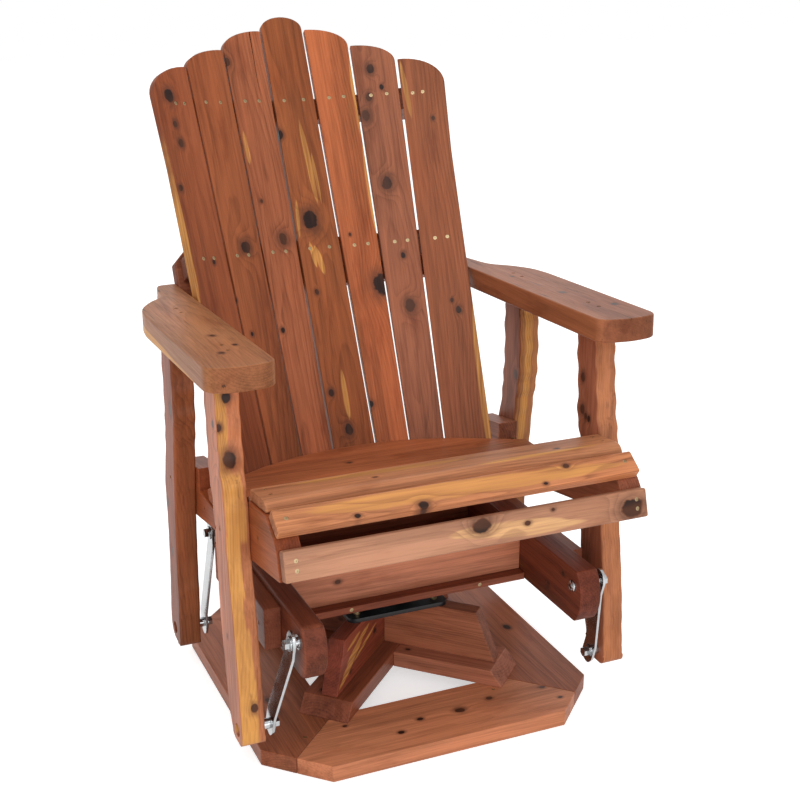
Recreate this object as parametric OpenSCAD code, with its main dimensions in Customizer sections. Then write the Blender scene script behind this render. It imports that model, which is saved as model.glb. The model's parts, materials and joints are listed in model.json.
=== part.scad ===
// Wooden fan-back armchair that glides on four hanging links and turns on a square ring base.
// The chair faces -Y, +X is the right-hand side as seen from the front, and the floor is z = 0.
// Heights and depths are given from the floor and from the middle of the ring.

/* [Ring base] */
// Length of each side of the ring, over its boards
ring_side = 596; // [520:1:680]
// Width of a ring board
ring_board_w = 140; // [110:1:160]
// Thickness of the ring boards and of the cross boards
deck_t = 28.5; // [22:0.5:36]
// Length cut off each side at a corner of the ring
ring_clip = 90; // [50:1:120]
// Width of the cross boards, flat below and on edge above
cross_w = 89; // [70:1:100]
// Reach of the lower cross from the swivel, at its underside
lower_cross_reach = 247; // [235:1:270]
// Reach of the upper cross from the swivel, at its underside
upper_cross_reach = 222; // [200:1:235]
// Slant of an upper cross end over its height
upper_cross_slant = 36; // [10:1:50]
// Bevel of a lower cross end over its thickness
lower_cross_bevel = 22; // [8:1:30]

/* [Swivel] */
// Distance of the swivel behind the middle of the ring
swivel_y = 13; // [0:1:30]
// Side of the square swivel plates
swivel_plate_side = 186; // [160:1:200]
// Thickness of each swivel plate
swivel_plate_t = 7.5; // [5:0.5:9]
// Height of the swivel over both plates
swivel_h = 45.6; // [40:0.2:52]
// Radius of the circle of balls
race_r = 50; // [40:1:60]
// Radius of a bearing ball
ball_r = 6; // [4:0.5:7]
// Radius of the swivel's centre pin
swivel_pin_r = 8; // [6:0.5:12]

/* [Carriage] */
// Thickness of the mounting board
mount_board_t = 12; // [9:0.5:18]
// Depth of the mounting board, front to back
mount_board_depth = 274; // [230:1:290]
// Distance of a cross board's outer face from the swivel
cross_board_reach = 117; // [100:1:125]
// Space between the two rails
rail_space = 436; // [400:1:460]
// Height of a rail above the floor, at its underside
rail_z = 193; // [192:0.5:196]
// Height of a rail
rail_h = 89; // [80:1:92]
// Thickness of the rails, arms and posts
frame_t = 38; // [34:1:40]
// Distance of the rails' front tips ahead of the ring's middle
rail_front = 313; // [305:1:325]
// Distance of the rails' rear tips behind the ring's middle
rail_rear = 178.5; // [174:0.5:190]
// Rise of the curved rail ends
rail_nose = 18; // [8:1:26]
// Height of the boards on the outside of the rails
cheek_h = 70; // [50:1:75]
// Front end of those boards, ahead of the ring's middle
cheek_front = 204; // [190:1:208]
// Rear end of those boards, behind the ring's middle
cheek_rear = 69; // [50:1:75]

/* [Glide links] */
// Front hanging pivot, ahead of the ring's middle
front_hang_y = 285; // [280:1:287]
// Height of the front hanging pivot
front_hang_z = 253; // [248:1:256]
// Front foot pivot, ahead of the ring's middle
front_foot_y = 234; // [231:0.5:236]
// Height of the front foot pivot
front_foot_z = 91.5; // [88:0.5:96]
// Rear hanging pivot, behind the ring's middle
rear_hang_y = 150.5; // [147:0.5:153]
// Height of the rear hanging pivot
rear_hang_z = 252.5; // [248:0.5:256]
// Rear foot pivot, behind the ring's middle
rear_foot_y = 143; // [141:0.5:145]
// Height of the rear foot pivot
rear_foot_z = 83; // [81:0.5:86]
// Width of a link bar
link_w = 32; // [26:1:36]
// Thickness of a link bar
link_t = 4.5; // [3:0.5:6]
// Length of a link past each hole
link_tip = 22; // [18:1:26]
// Sideways step between a link's two ends
link_jog = 20; // [19:0.5:21]
// Gap between a rail and the link beside it
link_gap = 9.75; // [8.75:0.25:10.25]
// Radius of the pivot bolts
pivot_r = 4.76; // [4:0.01:6]
// Running clearance round a pivot bolt
pivot_fit = 0.08; // [0.05:0.01:0.1]
// Clearance round the rear foot bolts, which lets the coupled links follow their arcs
open_fit = 1.7; // [1.6:0.05:2.4]
// Outer radius of a link bushing
bush_r = 8.5; // [7.8:0.1:10]

/* [Seat frame] */
// Rise of the front posts' lower ends above the floor
front_post_z = 70; // [62:1:72]
// Rise of the rear posts' lower ends above the floor
rear_post_z = 57; // [50:1:60]
// Height of a seat support
support_h = 89; // [84:1:92]
// Height of the supports' lower edge at the rear edge of the seat
support_z = 312; // [308:1:316]
// Slope of the supports' lower edge
support_slope = 9.65; // [8:0.05:11]
// Rear end of a seat support, behind the ring's middle
support_rear = 185; // [178:1:200]

/* [Arms] */
// Distance the arms reach past the posts' inner faces
arm_reach = 69; // [56:1:80]
// Height of an arm's top face at the ring's middle
arm_z = 679.6; // [650:0.1:700]
// Fall of the arms towards the back
arm_fall = 2.22; // [1:0.01:3]
// Front edge of an arm, ahead of the ring's middle
arm_front = 257; // [245:1:275]
// Rear end of an arm, behind the ring's middle
arm_rear = 320; // [315:1:330]
// Width of an arm at its rear end
arm_neck = 46; // [40:1:50]

/* [Seat] */
// Thickness of the slats
slat_t = 19; // [17:0.5:20]
// Depth of the front slat
front_slat_w = 77.5; // [70:0.5:79]
// Slope of the front slat
front_slat_tilt = 6.8; // [5:0.1:8]
// Height of the front slat's rear edge
front_slat_z = 479.5; // [476:0.5:480.5]
// Width of the nose slat
nose_w = 40; // [36:0.5:42]
// Tilt of the nose slat from level
nose_tilt = 34.2; // [32:0.1:37]
// Width of the apron slat
apron_w = 45.8; // [40:0.1:50]
// Tilt of the apron slat from level
apron_tilt = 73.6; // [70:0.1:78]
// Width of the two middle slats
middle_slat_w = 89; // [80:1:90]
// Height of the rear seat board's top
seat_low_z = 386; // [384:0.5:388]

/* [Back] */
// Recline of the back from upright
recline = 26.65; // [25:0.05:28]
// Middle of the back's front face, behind the ring's middle
back_y = 294; // [290:0.5:297]
// Height of the middle of the back's front face
back_z = 715; // [710:0.5:720]
// Turn from one slat to the next
fan_turn = 8; // [6:0.1:8.6]
// Middle of the gaps beside the centre slat, from its middle
fan_centre = 41.3; // [39:0.1:43]
// Spacing of the other slats at the seat
fan_low_pitch = 63; // [60:0.1:65]
// Spacing of the other slats at the top
fan_high_pitch = 81.8; // [76:0.1:84]
// Thickness of the back slats
back_slat_t = 16; // [14:0.5:19]
// Gap between neighbouring back slats
fan_gap = 2.8; // [2:0.2:7]
// Gap on each side of the centre slat
centre_gap = 4; // [2:0.5:8]
// How far the outermost slats widen outwards towards the seat
outer_flare = 22; // [0:1:26]
// Top of the centre slat above the screw row
crown_top = 443.5; // [420:0.5:460]
// Drop from the centre slat's top to its corners
crown_drop = 23; // [16:1:30]
// Step down from one slat's outer corner to the next
crown_step = 40; // [34:1:46]
// Extra drop of the outermost corner
crown_last = 18; // [0:1:24]
// Step down at each gap of the crown
crown_notch = 3.5; // [0:0.5:6]
// Height of the middle back rail
middle_rail_h = 40; // [34:1:44]
// Depth of the middle back rail behind the centre slat's face
middle_rail_d = 25; // [23:0.5:27]
// Height of the back brace
brace_h = 89; // [80:1:92]
// Length cut off the brace's upper corners
brace_clip = 22; // [10:1:30]
// Height of the upper back rail
upper_rail_h = 41; // [36:1:46]
// Lower edge of the upper back rail above the screw row
upper_rail_s = 247; // [235:1:255]
// Depth of the upper back rail behind the centre slat's face
upper_rail_d = 44; // [38:1:50]
// Height of the lower back rail
lower_rail_h = 39; // [36:1:42]
// Front edge of the lower back rail, behind the ring's middle
lower_rail_y = 30; // [24:1:34]

/* [Fasteners] */
// Radius of a wood screw's head
screw_head_r = 3.4; // [3:0.1:4.6]
// Radius of a wood screw's shank
screw_r = 2; // [1.6:0.1:2.4]
// Depth of a screw head below the wood
screw_sink = 0.8; // [0.4:0.1:1.2]
// Radius of a bolt's round head
bolt_head_r = 10; // [8.5:0.5:11]
// Radius of a washer
washer_r = 12; // [10:0.5:12.5]

/* [Hidden] */
$fn = 48;
fit = 0.06;
part_gap = 0.35;
slats = [-3:3];
wood = "#9a5534";
pale_wood = "#cf9a4f";
zinc = "#b9bcc0";
brass = "#c9a54e";
black_steel = "#1c1c1e";

half_ring = ring_side / 2;
ring_in = half_ring - ring_board_w;
ring_clip_mid = half_ring - ring_clip / 2;
lower_cross_z = deck_t;
upper_cross_z = lower_cross_z + deck_t;
swivel_z = upper_cross_z + cross_w;
mount_z = swivel_z + swivel_h;
mount_top = mount_z + mount_board_t;
rail_in = rail_space / 2;
rail_out = rail_in + frame_t;
cheek_t = deck_t - 0.5;
cheek_z = rail_z + (rail_h - cheek_h) / 2;
link_x = rail_out + link_gap;
link_low_x = link_x + link_jog;
post_in = rail_out + 48;
post_out = post_in + frame_t;
support_in = post_in - frame_t;
arm_in = support_in;
arm_out = post_in + arm_reach;
seat_slat_len = 2 * post_in - 6;
board_neck = support_in - 28;
middle_rail_half = arm_in - 10;
upper_rail_half = arm_in - 16;
fan_k = support_in / 266;
fan_half = fan_k * fan_centre;
slat_foot = (back_z - seat_low_z + slat_t + lower_rail_h - 2.7) / cos(recline);
front_link_len = norm([front_foot_y - front_hang_y, front_hang_z - front_foot_z]);
rear_link_len = norm([rear_foot_y - rear_hang_y, rear_hang_z - rear_foot_z]);
front_link_lean = atan2(front_hang_y - front_foot_y, front_hang_z - front_foot_z);
rear_link_lean = atan2(rear_foot_y - rear_hang_y, rear_hang_z - rear_foot_z);

// Each seat slat: its top face's front edge as [y, z], its tilt and its width
front_slat_rear = [-205, front_slat_z];
front_slat = [front_slat_rear - front_slat_w * [cos(front_slat_tilt), -sin(front_slat_tilt)],
    -front_slat_tilt, front_slat_w];
nose = [[-304, 485] - nose_w * [cos(nose_tilt), sin(nose_tilt)], nose_tilt, nose_w];
apron = [[-354.5, 440] - apron_w * [cos(apron_tilt), sin(apron_tilt)], apron_tilt, apron_w];
middle_slat_1 = [[-200, 466], -28.9, middle_slat_w];
middle_slat_2 = [[-117, 420], -19.05, middle_slat_w];
rear_board_y = -27;
board_step_y = 76;

// Middle of the chair's depth, from the apron's foot to the crown's back
crown_back = back_y + crown_top * sin(recline) + back_slat_t * cos(recline);
frame_y = -(crown_back + apron[0][0]) / 2;

// Height of an arm's top and of its underside at depth y
function arm_top(y) = arm_z - tan(arm_fall) * y;
function arm_under(y) = arm_top(y) - frame_t / cos(arm_fall);
// Height of a support's lower and upper edge at depth y
function support_under(y) = support_z - tan(support_slope) * (y - board_step_y - 28);
function support_top(y) = support_under(y) + support_h / cos(support_slope);

// Point of a seat slat at u from the front edge and v from the top face
function on_face(s, u, v) = s[0] + u * [cos(s[1]), sin(s[1])] + v * [-sin(s[1]), cos(s[1])];

// Smooth curve through a few points, with n steps between neighbours
function held(p, i) = p[min(max(i, 0), len(p) - 1)];
function between(a, b, c, d, t) =
    0.5 * (2 * b + (c - a) * t + (2 * a - 5 * b + 4 * c - d) * t * t
    + (3 * b - a - 3 * c + d) * t * t * t);
function smooth(p, n) = [
    for (i = [0:len(p) - 2], k = [0:n - 1])
        between(held(p, i - 1), p[i], p[i + 1], held(p, i + 2), k / n),
    p[len(p) - 1]
];
// Quarter of an ellipse from [a, 0] to [0, b]
function quarter(a, b, n) = [for (k = [0:n]) [a * cos(90 * k / n), b * sin(90 * k / n)]];

// Everything is drawn about the ring's middle and set here about the middle of its own box
module placed() {
    translate([0, frame_y, 0]) children();
}

// Extrudes an outline drawn in Y and Z along X, from x0 to x1
module along_x(x0, x1) {
    rotate([90, 0, 90]) translate([0, 0, x0]) linear_extrude(x1 - x0) children();
}

module both_sides() {
    children();
    mirror([1, 0, 0]) children();
}

// Mirrors what is drawn for the right-hand side when side is -1
module on_side(side) {
    mirror([side < 0 ? 1 : 0, 0, 0]) children();
}

// Rod, tube, bolt head and nut along X
module rod(r, x0, x1) {
    translate([x0, 0, 0]) rotate([0, 90, 0]) cylinder(r = r, h = x1 - x0);
}

module tube(r_out, r_in, x0, x1) {
    difference() {
        rod(r_out, x0, x1);
        rod(r_in, x0 - 1, x1 + 1);
    }
}

// Round head that is flat on the wood and domed away from it, towards +X or -X
module dome_head(r, x, way) {
    translate([x, 0, 0]) rotate([0, 90 * way, 0]) rotate_extrude() polygon(concat(
        [[0, 0], [r, 0]], [for (p = quarter(r, r * 0.42, 8)) p + [0, 1.2]]
    ));
}

module hex_nut(x0, thickness) {
    difference() {
        translate([x0, 0, 0]) rotate([0, 90, 0])
            cylinder(r = pivot_r * 1.75, h = thickness, $fn = 6);
        rod(pivot_r, x0 - 1, x0 + thickness + 1);
    }
}

// Wood screw along -Z with its head just under z = 0
module screw(length) {
    rotate_extrude() polygon([
        [0, -screw_sink], [screw_head_r, -screw_sink], [screw_r, -screw_sink - screw_head_r / 2],
        [screw_r, -length], [0, -length - screw_r]
    ]);
}

// Hole that takes the same screw
module screw_hole(length) {
    rotate_extrude() polygon([
        [0, 1], [screw_head_r + fit, 1], [screw_head_r + fit, -screw_sink],
        [screw_r + fit, -screw_sink - screw_head_r / 2], [screw_r + fit, -length],
        [0, -length - screw_r - fit]
    ]);
}

// Ring base

ring_screws = [[127.7, -188.9], [-220.5, -201]];
ring_screw_len = 22;
cross_screw_reach = 222;
cross_screw_side = 34;
cross_screw_len = 46;
plate_bolt_reach = 102.7;
plate_bolt_r = 3;
plate_bolt_len = 38;

module ring_board(turn) {
    color(wood) placed() difference() {
        rotate([0, 0, turn]) linear_extrude(deck_t) polygon([
            [-half_ring + ring_clip, -half_ring], [half_ring - ring_clip, -half_ring],
            [ring_clip_mid, -ring_clip_mid], [ring_in, -ring_in],
            [-ring_in, -ring_in], [-ring_clip_mid, -ring_clip_mid]
        ]);
        cross_screw_places() screw_hole(cross_screw_len);
        ring_screw_places() screw_hole(ring_screw_len);
    }
}

module ring_screw_places() {
    for (p = ring_screws) translate([p[0], p[1], deck_t]) children();
}

// Turns the children to each arm of the cross, with +X along the arm
module on_cross(turns) {
    for (turn = turns) translate([0, swivel_y, 0]) rotate([0, 0, turn]) children();
}

// Screws from under the ring into the lower cross
module cross_screw_places() {
    on_cross([45, 135, 225, 315]) for (side = [-1, 1])
        translate([cross_screw_reach, side * cross_screw_side, 0]) rotate([180, 0, 0]) children();
}

module cross_board(turn, z, height, width, from, to, slant) {
    on_cross([turn]) rotate([90, 0, 0]) translate([0, 0, -width / 2]) linear_extrude(width)
        polygon([
            [from < 0 ? -to : from, z], [to, z], [to - slant, z + height],
            [from < 0 ? slant - to : from, z + height]
        ]);
}

module lower_cross(turn, from) {
    color(wood) placed() difference() {
        cross_board(turn, lower_cross_z, deck_t, cross_w, from, lower_cross_reach,
            lower_cross_bevel);
        cross_screw_places() screw_hole(cross_screw_len);
    }
}

module upper_cross(turn, from) {
    color(wood) placed() difference() {
        cross_board(turn, upper_cross_z, cross_w, deck_t, from, upper_cross_reach,
            upper_cross_slant);
        plate_bolt_places() translate([0, 0, -plate_bolt_len - fit])
            cylinder(r = plate_bolt_r + fit, h = plate_bolt_len + 2 * fit);
    }
}

// Bolts in the corners of the swivel's lower plate
module plate_bolt_places() {
    on_cross([45, 135, 225, 315]) translate([plate_bolt_reach, 0, swivel_z + swivel_plate_t])
        children();
}

module plate_bolt() {
    cylinder(r = plate_bolt_r * 2.1, h = 1.2);
    translate([0, 0, 1.2]) cylinder(r = plate_bolt_r * 1.9, h = plate_bolt_r, $fn = 6);
    translate([0, 0, -plate_bolt_len]) cylinder(r = plate_bolt_r, h = plate_bolt_len);
}

module base_screws() {
    color(brass) placed() {
        cross_screw_places() screw(cross_screw_len - 2);
        ring_screw_places() screw(ring_screw_len - 2);
    }
    color(zinc) placed() plate_bolt_places() plate_bolt();
}

// Swivel

plate_corner_r = 14;
race_half_w = 11;
race_gap = 2;
ball_count = 20;
ball_z = swivel_z + swivel_h / 2;
pin_head_r = swivel_pin_r * 1.8;
pin_head_h = 5;

module swivel_sheet() {
    translate([0, swivel_y, 0]) linear_extrude(swivel_plate_t) difference() {
        square(swivel_plate_side, center = true);
        for (turn = [0:90:270]) rotate(turn)
            translate((swivel_plate_side / 2 - plate_corner_r) * [1, 1]) difference() {
                square(plate_corner_r + 1);
                circle(r = plate_corner_r);
            }
    }
}

module race_ring(z0, z1) {
    translate([0, swivel_y, 0]) rotate_extrude() translate([race_r - race_half_w, z0])
        square([2 * race_half_w, z1 - z0]);
}

module race_groove(r) {
    translate([0, swivel_y, ball_z]) rotate_extrude() translate([race_r, 0]) circle(r = r);
}

module swivel_lower_plate() {
    color(black_steel) placed() difference() {
        union() {
            translate([0, 0, swivel_z]) swivel_sheet();
            race_ring(swivel_z + swivel_plate_t / 2, ball_z - race_gap / 2);
        }
        race_groove(ball_r);
        translate([0, swivel_y, swivel_z - 1]) cylinder(r = swivel_pin_r, h = swivel_h);
        plate_bolt_places() translate([0, 0, -swivel_plate_t - 1])
            cylinder(r = plate_bolt_r + fit, h = swivel_plate_t + 2);
    }
}

module swivel_bearing_balls() {
    color(zinc) placed() translate([0, swivel_y, ball_z])
        for (k = [0:ball_count - 1]) rotate([0, 0, 360 * k / ball_count])
            translate([race_r, 0, 0]) sphere(r = ball_r);
}

module swivel_centre_pin() {
    color(zinc) placed() translate([0, swivel_y, swivel_z]) {
        cylinder(r = swivel_pin_r, h = swivel_h - part_gap);
        translate([0, 0, swivel_plate_t]) cylinder(r = pin_head_r, h = pin_head_h);
    }
}

module swivel_upper_plate() {
    hub_z = swivel_z + swivel_plate_t + pin_head_h + part_gap;
    color(black_steel) placed() difference() {
        union() {
            translate([0, 0, mount_z - swivel_plate_t]) swivel_sheet();
            race_ring(ball_z + race_gap / 2, mount_z - swivel_plate_t / 2);
            translate([0, swivel_y, hub_z]) cylinder(r = pin_head_r, h = mount_z - hub_z);
        }
        race_groove(ball_r + part_gap);
        translate([0, swivel_y, swivel_z])
            cylinder(r = swivel_pin_r + pivot_fit, h = swivel_h + 1);
        swivel_screw_places() screw_hole(swivel_screw_len);
    }
}

// Carriage

edge_screws = [-107, 131];
edge_screw_len = 60;
swivel_screw_len = 15;
rail_screw_len = 68;
cheek_screw_len = 50;

// Screws up through the corners of the swivel's upper plate
module swivel_screw_places() {
    on_cross([45, 135, 225, 315])
        translate([plate_bolt_reach, 0, mount_z - swivel_plate_t]) rotate([180, 0, 0]) children();
}

module edge_screw_places() {
    for (x = edge_screws) translate([x, swivel_y - mount_board_depth / 2,
        mount_z + mount_board_t / 2]) rotate([90, 0, 0]) children();
}

module mounting_board() {
    color(wood) placed() difference() {
        translate([-rail_in, swivel_y - mount_board_depth / 2, mount_z])
            cube([rail_space, mount_board_depth, mount_board_t]);
        edge_screw_places() screw_hole(edge_screw_len);
        swivel_screw_places() screw_hole(swivel_screw_len);
    }
}

function cross_board_y(front) =
    front ? swivel_y - cross_board_reach : swivel_y + cross_board_reach - deck_t;

module cross_board_on_edge(front) {
    color(wood) placed() difference() {
        translate([-rail_in, cross_board_y(front), mount_top])
            cube([rail_space, deck_t, rail_z + rail_h - mount_top]);
        rail_screw_places() screw_hole(rail_screw_len);
    }
}

// Screws from each rail's outer face into the ends of the cross boards
module rail_screw_places() {
    for (front = [true, false], k = [0.3, 0.72])
        both_sides() translate([rail_out, cross_board_y(front) + deck_t / 2, rail_z + rail_h * k])
            rotate([0, 90, 0]) children();
}

// Screws from each cheek into its rail
module cheek_screw_places() {
    for (k = [0.1, 0.55, 0.9]) both_sides()
        translate([rail_out + cheek_t, -cheek_front + (cheek_front + cheek_rear) * k,
            cheek_z + cheek_h / 2]) rotate([0, 90, 0]) children();
}

// Board outline with both ends rounded to an arc
module rail_outline() {
    r = (rail_h * rail_h / 4 + rail_nose * rail_nose) / (2 * rail_nose);
    intersection() {
        translate([-rail_front, rail_z]) square([rail_front + rail_rear, rail_h]);
        translate([-rail_front + r, rail_z + rail_h / 2]) union() {
            circle(r = r, $fn = 96);
            translate([0, -rail_h]) square(2 * rail_h + 600);
        }
        translate([rail_rear - r, rail_z + rail_h / 2]) union() {
            circle(r = r, $fn = 96);
            translate([-2 * rail_h - 600, -rail_h]) square(2 * rail_h + 600);
        }
    }
}

module rail(side) {
    color(wood) placed() on_side(side) difference() {
        along_x(rail_in, rail_out) rail_outline();
        hanging_pivots() rod(pivot_r + fit, rail_in - 1, rail_out + 1);
        rail_screw_places() screw_hole(rail_screw_len);
        cheek_screw_places() screw_hole(cheek_screw_len);
    }
}

module cheek(side) {
    color(wood) placed() on_side(side) difference() {
        translate([rail_out, -cheek_front, cheek_z])
            cube([cheek_t, cheek_front + cheek_rear, cheek_h]);
        cheek_screw_places() screw_hole(cheek_screw_len);
    }
}

module carriage_screws() {
    color(brass) placed() {
        rail_screw_places() screw(rail_screw_len - 2);
        cheek_screw_places() screw(cheek_screw_len - 2);
        edge_screw_places() screw(edge_screw_len - 2);
        swivel_screw_places() screw(swivel_screw_len - 1);
    }
}

// Pivots, drawn for the right-hand side

nut_t = 8;
washer_t = 1.6;
hang_washer_x = link_x + link_t + part_gap;
foot_nut_x = link_low_x - part_gap - washer_t - nut_t;
head_recess = 9;
recess_r = bolt_head_r + 1;

module hanging_pivots() {
    translate([0, -front_hang_y, front_hang_z]) children();
    translate([0, rear_hang_y, rear_hang_z]) children();
}

module foot_pivots() {
    translate([0, -front_foot_y, front_foot_z]) children();
    translate([0, rear_foot_y, rear_foot_z]) children();
}

module upper_pivot_bolts() {
    color(zinc) placed() both_sides() hanging_pivots() {
        dome_head(bolt_head_r, rail_in, -1);
        rod(pivot_r, rail_in, hang_washer_x + washer_t + nut_t);
    }
}

module upper_pivot_nuts_and_spacers() {
    color(zinc) placed() both_sides() hanging_pivots() {
        tube(washer_r, pivot_r, rail_out, rail_out + 2);
        tube(bush_r, pivot_r, rail_out + 2, link_x - part_gap);
        tube(washer_r, pivot_r, hang_washer_x, hang_washer_x + washer_t);
        hex_nut(hang_washer_x + washer_t, nut_t);
    }
}

// Flat bar hung from its upper hole at the origin, stepped sideways on its way down
module link_bar(length) {
    bend_from = 21;
    bend_to = length - 21;
    difference() {
        intersection() {
            rotate([90, 0, 0]) translate([0, 0, -link_w / 2]) linear_extrude(link_w) polygon([
                [link_x, link_tip + 1], [link_x + link_t, link_tip + 1],
                [link_x + link_t, -bend_from], [link_low_x + link_t, -bend_to],
                [link_low_x + link_t, -length - link_tip - 1],
                [link_low_x, -length - link_tip - 1],
                [link_low_x, -bend_to - 1], [link_x, -bend_from - 1]
            ]);
            along_x(link_x - 1, link_low_x + link_t + 1) link_outline(length);
        }
        rod(bush_r, link_x - 1, link_x + link_t + 1);
        translate([0, 0, -length]) rod(bush_r, link_low_x - 1, link_low_x + link_t + 1);
    }
}

// Straight bar whose ends come to blunt rounded tips
module link_outline(length) {
    w = link_w / 2;
    side = smooth([[w, link_tip * 0.2], [w - 1.2, link_tip * 0.42], [w * 0.62, link_tip * 0.84],
        [w * 0.3, link_tip * 0.97], [0, link_tip]], 3);
    last = len(side) - 1;
    polygon(concat(
        side,
        [for (k = [last - 1:-1:0]) [-side[k][0], side[k][1]]],
        [for (p = side) [-p[0], -length - p[1]]],
        [for (k = [last - 1:-1:0]) [side[k][0], -length - side[k][1]]]
    ));
}

module front_link(side) {
    color(zinc) placed() on_side(side) translate([0, -front_hang_y, front_hang_z])
        rotate([front_link_lean, 0, 0]) link_bar(front_link_len);
}

module rear_link(side) {
    color(zinc) placed() on_side(side) translate([0, rear_hang_y, rear_hang_z])
        rotate([rear_link_lean, 0, 0]) link_bar(rear_link_len);
}

module front_link_bushings() {
    color(zinc) placed() both_sides() {
        translate([0, -front_hang_y, front_hang_z])
            tube(bush_r, pivot_r + pivot_fit, link_x, link_x + link_t);
        translate([0, -front_foot_y, front_foot_z])
            tube(bush_r, pivot_r + pivot_fit, link_low_x, link_low_x + link_t);
    }
}

module rear_link_bushings() {
    color(zinc) placed() both_sides() {
        translate([0, rear_hang_y, rear_hang_z])
            tube(bush_r, pivot_r + pivot_fit, link_x, link_x + link_t);
        translate([0, rear_foot_y, rear_foot_z])
            tube(bush_r, pivot_r + open_fit, link_low_x, link_low_x + link_t);
    }
}

// Posts: live-edged boards, each edge given as [y, z] points from the foot up

frame_screws = [[-182, 412], [-157, 404], [118, 383]];
frame_screw_len = 54;
arm_screw_x = post_in + 10;
arm_screws = [-167, -134, 97, 129];
arm_screw_len = 90;

// Waves of a natural edge, up to 4 mm deep on the upper half of a post
function wave_depth(z) = z < 100 ? 0 : z < 420 ? 0.35 : min(1, 0.35 + (z - 420) / 60);
function wane(p, k) = [for (q = p) q + [wave_depth(q[1])
    * (1.3 * sin(3.1 * q[1] + k) + 1.9 * sin(8.6 * q[1] + 40 * sin(2.3 * q[1]) + 3 * k)), 0]];

front_post_outline = concat(
    wane(smooth([[-221, front_post_z], [-208, front_post_z + 7], [-197, 97], [-191, 118],
        [-175, 184], [-160, 280], [-154, 370], [-144, 445], [-132, 485], [-127, 540],
        [-121, 612], [-118, 700]], 9), 20),
    wane(smooth([[-172, 700], [-180, 626], [-190, 560], [-196, 505], [-208, 465], [-213, 430],
        [-213, 388], [-227, 310], [-245, 209], [-252, 140], [-257, 100],
        [-258, front_post_z + 10], [-252, front_post_z + 2], [-244, front_post_z]], 9), 130)
);
rear_post_outline = concat(
    wane(smooth([[128, rear_post_z], [151, rear_post_z + 2], [166, rear_post_z + 13], [172, 92],
        [169, 130], [163, 189], [159, 240], [159, 286], [162, 340], [160, 375], [146, 430],
        [140, 482], [140, 560], [140, 622], [138, 700]], 9), 70),
    wane(smooth([[84, 700], [81, 640], [80, 606], [73, 550], [76, 498], [86, 430], [95, 360],
        [103, 270], [105, 210], [105, 163], [109, 110], [112, rear_post_z + 10],
        [117, rear_post_z]], 9), 200)
);

module post(side, outline) {
    color(wood) placed() on_side(side) difference() {
        along_x(post_in, post_out) intersection() {
            polygon(outline);
            polygon([[-400, 0], [400, 0], [400, arm_under(400)], [-400, arm_under(-400)]]);
        }
        foot_pivots() {
            rod(pivot_r + fit, post_in - 1, post_out + 1);
            rod(recess_r, post_out - head_recess, post_out + 1);
        }
        frame_screw_places() screw_hole(frame_screw_len);
        arm_screw_places() screw_hole(arm_screw_len);
    }
}

// Long screws through each post into the seat support
module frame_screw_places() {
    for (p = frame_screws) translate([post_out, p[0], p[1]]) rotate([0, 90, 0]) children();
}

// Arms

arm_shoulder_y = 114;
brace_screw_len = 80;

arm_outline = concat(
    smooth([[arm_in, 26 - arm_front], [arm_in + 1.5, 15 - arm_front],
        [arm_in + 9, 5 - arm_front], [arm_in + 24, -arm_front - 1],
        [(arm_in + arm_out) / 2, -arm_front - 5], [arm_out - 24, -arm_front - 1],
        [arm_out - 9, 6 - arm_front], [arm_out - 1.5, 17 - arm_front],
        [arm_out, 30 - arm_front]], 4),
    smooth([[arm_out, arm_shoulder_y - 24], [arm_out - 1, arm_shoulder_y],
        [arm_out - 8, arm_shoulder_y + 42], [arm_out - 30, arm_shoulder_y + 82],
        [arm_in + arm_neck + 9, arm_shoulder_y + 108], [arm_in + arm_neck, arm_shoulder_y + 133],
        [arm_in + arm_neck - 5, arm_rear - 36], [arm_in + arm_neck - 10, arm_rear - 9],
        [arm_in + arm_neck - 19, arm_rear], [arm_in + 2, arm_rear + 2]], 4),
    [[arm_in, arm_rear - 1]]
);

module arm(side) {
    color(wood) placed() on_side(side) difference() {
        translate([0, 0, arm_z]) rotate([-arm_fall, 0, 0]) translate([0, 0, -frame_t])
            linear_extrude(frame_t) polygon(arm_outline);
        arm_screw_places() screw_hole(arm_screw_len);
        brace_screw_places() screw_hole(brace_screw_len);
    }
}

module arm_screw_places() {
    for (y = arm_screws) translate([arm_screw_x, y, arm_top(y)]) rotate([-arm_fall, 0, 0])
        children();
}

// Screw from each arm's outer edge, halfway down the arm, into the end of the back brace
brace_screw_d = middle_rail_d + deck_t / 2;
brace_screw_s = (arm_z - frame_t / 2 / cos(arm_fall) - back_z + brace_screw_d * sin(recline)
    - tan(arm_fall) * (back_y + brace_screw_d * cos(recline)))
    / (cos(recline) + sin(recline) * tan(arm_fall));

module brace_screw_places() {
    on_back() translate([arm_in + arm_neck - 8, brace_screw_s, -brace_screw_d])
        rotate([0, 90, 0]) children();
}

// Seat

seat_screw_x = post_in - 22;
seat_screw_len = 46;
board_screw_y = [-10, 52];

// Each screw of the seat slats: its slat and its distance from the slat's front edge
slat_screws = [
    [apron, apron_w * 0.34], [apron, apron_w * 0.66], [nose, nose_w * 0.55],
    [front_slat, front_slat_w - 44], [front_slat, front_slat_w - 15],
    [middle_slat_1, 22], [middle_slat_1, middle_slat_w - 22],
    [middle_slat_2, 22], [middle_slat_2, middle_slat_w - 22]
];

module seat_screw_places() {
    for (s = slat_screws) both_sides() translate([seat_screw_x, on_face(s[0], s[1], 0)[0],
        on_face(s[0], s[1], 0)[1]]) rotate([s[0][1], 0, 0]) children();
    for (y = board_screw_y) both_sides() translate([seat_screw_x, y, seat_low_z]) children();
}

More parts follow.
